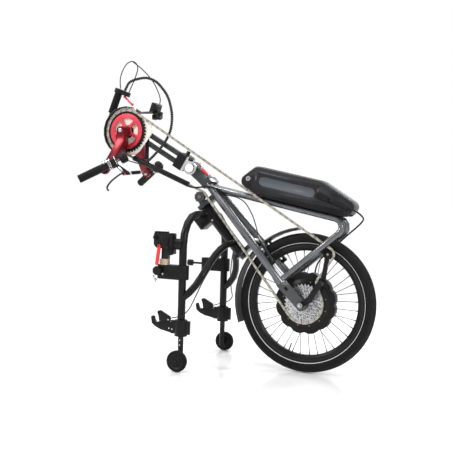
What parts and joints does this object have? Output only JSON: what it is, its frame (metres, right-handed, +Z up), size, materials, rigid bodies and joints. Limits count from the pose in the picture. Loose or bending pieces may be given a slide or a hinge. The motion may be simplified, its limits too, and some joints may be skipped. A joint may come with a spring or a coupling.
{
  "type": "handcycle",
  "caption": "Clip-on wheelchair handcycle: power-assisted front wheel on a forked frame with battery, hand cranks on a chain-driven boom, and a two-legged docking adapter on small wheels.",
  "frame": {"origin": "on the floor, at the middle of the whole thing's length and width", "axes": "+X is the riding direction, +Y the rider's left, +Z up"},
  "size_m": [1.0756, 0.5032, 1.1355],
  "materials": {
    "black_tube": "satin black powder coat",
    "anthracite_metal": "metallic dark grey paint",
    "black_metal": "satin black anodised metal",
    "silver_metal": "bare machined aluminium",
    "chain_steel": "nickel-plated steel",
    "cog_steel": "nickel-plated steel",
    "grey_metal": "grey painted metal",
    "red_metal": "red anodised aluminium",
    "red_plastic": "bright red plastic",
    "black_plastic": "matte black moulded plastic",
    "battery_plastic": "fine-grained black battery housing",
    "grey_plastic": "light grey plastic edge strip",
    "cream_plastic": "cream translucent plastic sheet",
    "grip_rubber": "soft black rubber",
    "caster_tyre": "solid black rubber",
    "tyre_rubber": "black tyre rubber",
    "cable_jacket": "black cable jacket"
  },
  "bodies": {
    "adapter": {"upright_right": "black_tube", "upright_left": "black_tube", "head_tube": "black_tube", "hook_bracket_right": "black_metal", "hook_bracket_left": "black_metal", "clamp_band_right": "black_plastic", "clamp_band_left": "black_plastic", "dock_mechanism": "black_plastic", "latch_cable_right": "cable_jacket", "latch_cable_left": "cable_jacket"},
    "latch_right_arm": {"latch_right": "black_plastic"},
    "latch_left_arm": {"latch_left": "black_plastic"},
    "knob_right": {"clamp_knob_right": "black_plastic"},
    "knob_left": {"clamp_knob_left": "black_plastic"},
    "dock_arm": {"dock_lever": "red_plastic"},
    "leg_right_slide": {"leg_right": "black_tube"},
    "leg_left_slide": {"leg_left": "black_tube"},
    "caster_right_wheel": {"caster_right": "caster_tyre"},
    "caster_left_wheel": {"caster_left": "caster_tyre"},
    "fork": {"steerer": "black_metal", "frame_head": "anthracite_metal", "fork_blade_right": "anthracite_metal", "fork_blade_left": "anthracite_metal", "rail_right": "anthracite_metal", "rail_left": "anthracite_metal", "battery_case": "battery_plastic", "battery_spine": "grey_plastic", "battery_lead": "cable_jacket", "brake_cable": "cable_jacket", "fender": "black_plastic", "wheel_axle": "silver_metal", "derailleur_body": "black_metal", "chain": "chain_steel"},
    "quick_release": {"quick_lever": "red_metal"},
    "brake_right": {"brake_arm_right": "black_metal"},
    "brake_left": {"brake_arm_left": "black_metal"},
    "idler": {"idler_pulley": "grey_metal"},
    "cage": {"derailleur_cage": "black_metal"},
    "guide": {"guide_pulley": "black_plastic"},
    "tension": {"tension_pulley": "black_plastic"},
    "wheel": {"tyre": "tyre_rubber", "rim": "black_metal", "hub_motor": "black_metal"},
    "cassette_cogs": {"cassette": "cog_steel"},
    "boom_arm": {"boom_clamp": "silver_metal", "boom": "anthracite_metal", "chain_guard": "cream_plastic", "chain_tube": "black_plastic", "display": "black_plastic", "top_handle": "grip_rubber", "hose": "black_plastic", "control_cables": "cable_jacket", "grip_cables": "cable_jacket"},
    "thumb_control": {"thumb_lever": "red_plastic"},
    "crank": {"chainring": "black_metal", "crank_right": "red_metal", "crank_left": "red_metal"},
    "handle_right_turn": {"handle_right": "grip_rubber"},
    "handle_left_turn": {"handle_left": "grip_rubber"},
    "brake_lever_arm": {"brake_lever": "black_metal"}
  },
  "joints": [
    {"name": "steer", "type": "hinge", "parent": "adapter", "child": "fork", "pos_m": [-0.11222, 0, 0.579], "axis": [-0.6626, 0, 0.749], "range_deg": [-30, 30]},
    {"name": "latch_right_swing", "type": "hinge", "parent": "adapter", "child": "latch_right_arm", "pos_m": [-0.15522, -0.196, 0.1754], "axis": [0, 1, 0], "range_deg": [0, 25], "stiffness_Nm_per_rad": 0.3, "springref_deg": -22.92, "deforming": ["latch_cable_right"]},
    {"name": "latch_left_swing", "type": "hinge", "parent": "adapter", "child": "latch_left_arm", "pos_m": [-0.15522, 0.196, 0.1754], "axis": [0, 1, 0], "range_deg": [0, 25], "stiffness_Nm_per_rad": 0.3, "springref_deg": -22.92, "deforming": ["latch_cable_left"]},
    {"name": "knob_right_turn", "type": "hinge", "parent": "adapter", "child": "knob_right", "pos_m": [-0.19922, -0.222, 0.352], "axis": [0, 1, 0], "continuous": true},
    {"name": "knob_left_turn", "type": "hinge", "parent": "adapter", "child": "knob_left", "pos_m": [-0.23222, 0.196, 0.349], "axis": [1, 0, 0], "continuous": true},
    {"name": "dock_lever_swing", "type": "hinge", "parent": "adapter", "child": "dock_arm", "pos_m": [-0.19122, -0.228, 0.44], "axis": [0, 1, 0], "range_deg": [0, 95]},
    {"name": "leg_right_height", "type": "slide", "parent": "adapter", "child": "leg_right_slide", "axis": [0, 0, 1], "range_m": [-0.05, 0.025]},
    {"name": "leg_left_height", "type": "slide", "parent": "adapter", "child": "leg_left_slide", "axis": [0, 0, 1], "range_m": [-0.05, 0.025]},
    {"name": "caster_right_roll", "type": "hinge", "parent": "leg_right_slide", "child": "caster_right_wheel", "pos_m": [-0.11322, -0.224, 0.038], "axis": [0, 1, 0], "continuous": true},
    {"name": "caster_left_roll", "type": "hinge", "parent": "leg_left_slide", "child": "caster_left_wheel", "pos_m": [-0.11322, 0.224, 0.038], "axis": [0, 1, 0], "continuous": true},
    {"name": "quick_lever_swing", "type": "hinge", "parent": "fork", "child": "quick_release", "pos_m": [-0.12484, 0, 0.71867], "axis": [0, -1, 0], "range_deg": [0, 90]},
    {"name": "brake_right_squeeze", "type": "hinge", "parent": "fork", "child": "brake_right", "pos_m": [0.17912, -0.06541, 0.39347], "axis": [-0.749, 0, -0.6626], "range_deg": [0, 3], "stiffness_Nm_per_rad": 2, "springref_deg": -17.19, "deforming": ["brake_cable"]},
    {"name": "brake_left_squeeze", "type": "hinge", "parent": "fork", "child": "brake_left", "pos_m": [0.17912, 0.06541, 0.39347], "axis": [0.749, 0, 0.6626], "range_deg": [0, 3], "stiffness_Nm_per_rad": 2, "springref_deg": -17.19},
    {"name": "idler_spin", "type": "hinge", "parent": "fork", "child": "idler", "pos_m": [-0.12222, -0.039, 0.617], "axis": [0, 1, 0], "continuous": true},
    {"name": "cage_swing", "type": "hinge", "parent": "fork", "child": "cage", "pos_m": [0.35378, -0.039, 0.328], "axis": [0, 1, 0], "range_deg": [-8, 8], "stiffness_Nm_per_rad": 0.5, "deforming": ["chain"]},
    {"name": "guide_spin", "type": "hinge", "parent": "cage", "child": "guide", "pos_m": [0.35378, -0.039, 0.328], "axis": [0, 1, 0], "continuous": true},
    {"name": "tension_spin", "type": "hinge", "parent": "cage", "child": "tension", "pos_m": [0.36978, -0.039, 0.43], "axis": [0, 1, 0], "continuous": true},
    {"name": "wheel_spin", "type": "hinge", "parent": "fork", "child": "wheel", "pos_m": [0.28778, 0, 0.25], "axis": [0, 1, 0], "continuous": true},
    {"name": "cassette_spin", "type": "hinge", "parent": "fork", "child": "cassette_cogs", "pos_m": [0.28778, -0.039, 0.25], "axis": [0, 1, 0], "continuous": true},
    {"name": "boom_tilt", "type": "hinge", "parent": "fork", "child": "boom_arm", "pos_m": [-0.16922, 0, 0.723], "axis": [0, 1, 0], "range_deg": [-8, 8], "deforming": ["chain", "grip_cables"]},
    {"name": "thumb_lever_press", "type": "hinge", "parent": "boom_arm", "child": "thumb_control", "pos_m": [-0.46866, -0.008, 0.9964], "axis": [0, 1, 0], "range_deg": [0, 20], "stiffness_Nm_per_rad": 0.05, "springref_deg": -17.19},
    {"name": "crank_spin", "type": "hinge", "parent": "boom_arm", "child": "crank", "pos_m": [-0.43822, 0, 0.86], "axis": [0, 1, 0], "continuous": true, "deforming": ["grip_cables"]},
    {"name": "handle_right_spin", "type": "hinge", "parent": "crank", "child": "handle_right_turn", "pos_m": [-0.45522, -0.165, 0.707], "axis": [0, 1, 0], "continuous": true, "deforming": ["grip_cables"]},
    {"name": "handle_left_spin", "type": "hinge", "parent": "crank", "child": "handle_left_turn", "pos_m": [-0.45522, 0.165, 0.707], "axis": [0, 1, 0], "continuous": true},
    {"name": "brake_lever_pull", "type": "hinge", "parent": "handle_right_turn", "child": "brake_lever_arm", "pos_m": [-0.36722, -0.19, 0.693], "axis": [-0.303, 0.9171, 0.2589], "range_deg": [0, 12], "stiffness_Nm_per_rad": 0.4, "springref_deg": -28.65}
  ],
  "couplings": [
    {"joint": "cassette_spin", "follows": "crank_spin", "ratio": 1.1765},
    {"joint": "tension_spin", "follows": "crank_spin", "ratio": 3.6364},
    {"joint": "guide_spin", "follows": "crank_spin", "ratio": -3.6364},
    {"joint": "idler_spin", "follows": "crank_spin", "ratio": -3.6364},
    {"joint": "brake_left_squeeze", "follows": "brake_right_squeeze", "ratio": 1}
  ]
}
